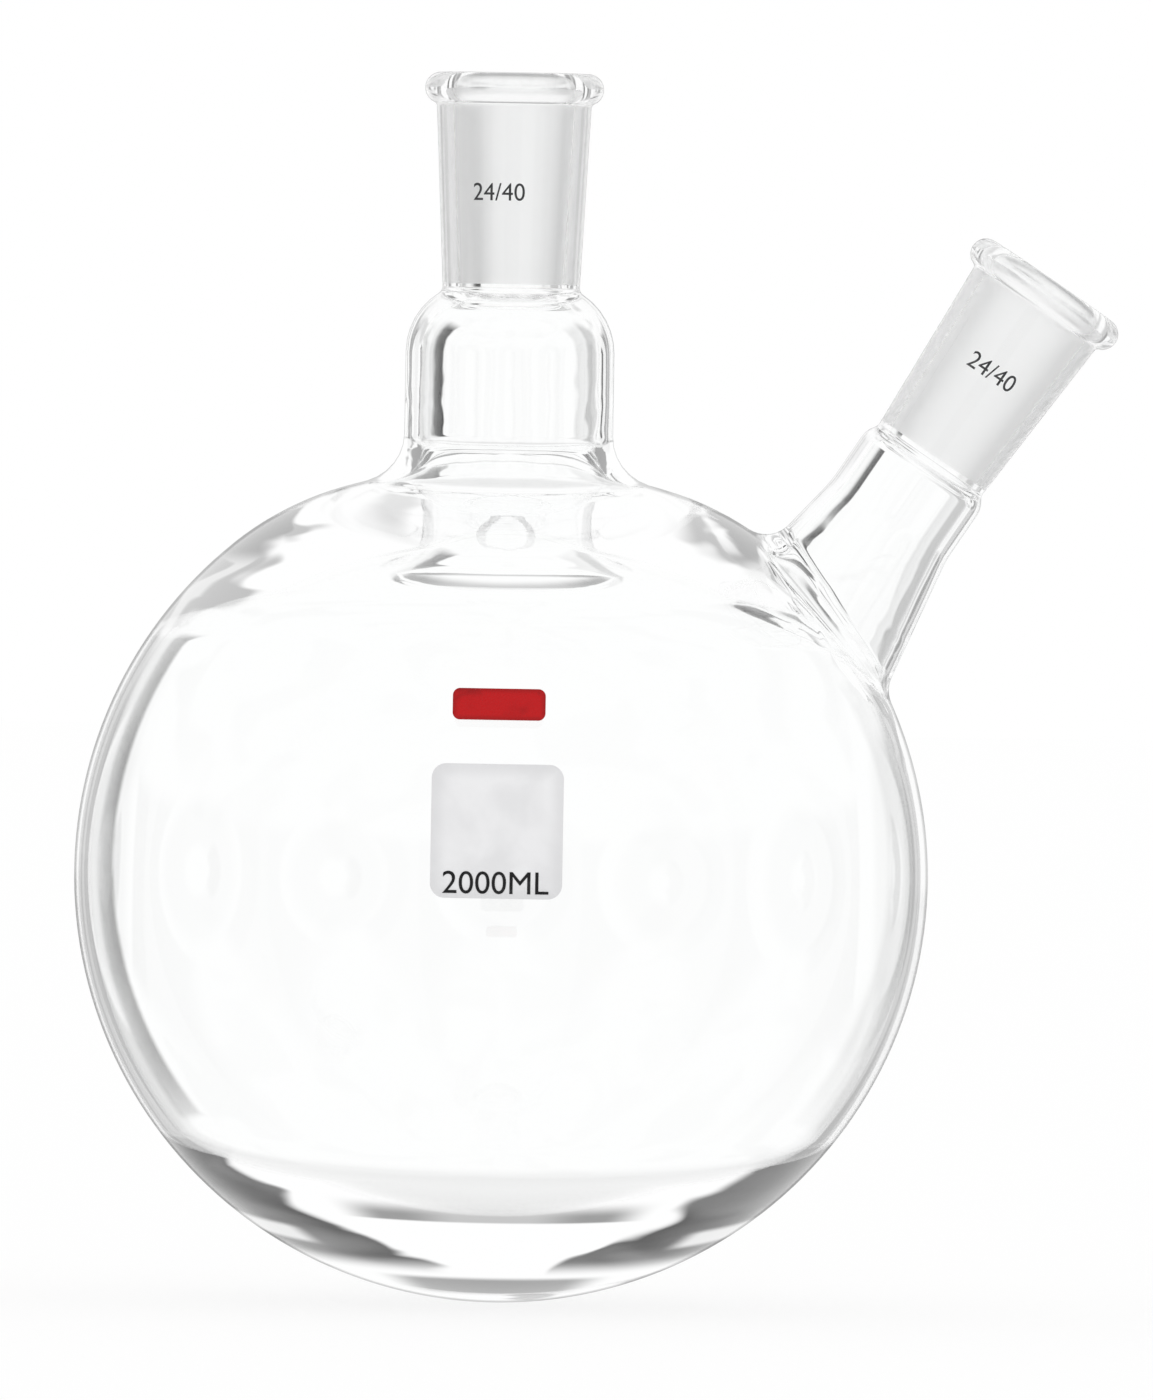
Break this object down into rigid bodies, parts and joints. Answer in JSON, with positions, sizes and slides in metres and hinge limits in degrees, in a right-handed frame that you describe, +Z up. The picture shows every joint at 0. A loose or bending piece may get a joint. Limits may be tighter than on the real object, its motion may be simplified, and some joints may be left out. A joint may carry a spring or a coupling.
{
  "type": "two-neck round-bottom flask",
  "caption": "Two-neck round-bottom glass flask with a shouldered vertical neck and a slanted off-centre side neck, both ending in tapered ground sockets with beaded rims.",
  "frame": {"origin": "lowest point of the bulb, under the centre neck's axis, where the flask sits in a ring or a heating mantle", "axes": "+Z up the centre neck; +X towards the side neck, which leans that way; the printed marks face -Y"},
  "size_m": [0.2011, 0.1661, 0.239],
  "materials": {
    "clear_glass": "clear, fire-polished, with fine-ground sockets",
    "white_enamel": "matt fired enamel",
    "red_enamel": "glossy fired enamel"
  },
  "bodies": {
    "root": {"flask": "clear_glass", "marking_spot": "white_enamel", "colour_bar": "red_enamel"}
  },
  "joints": []
}
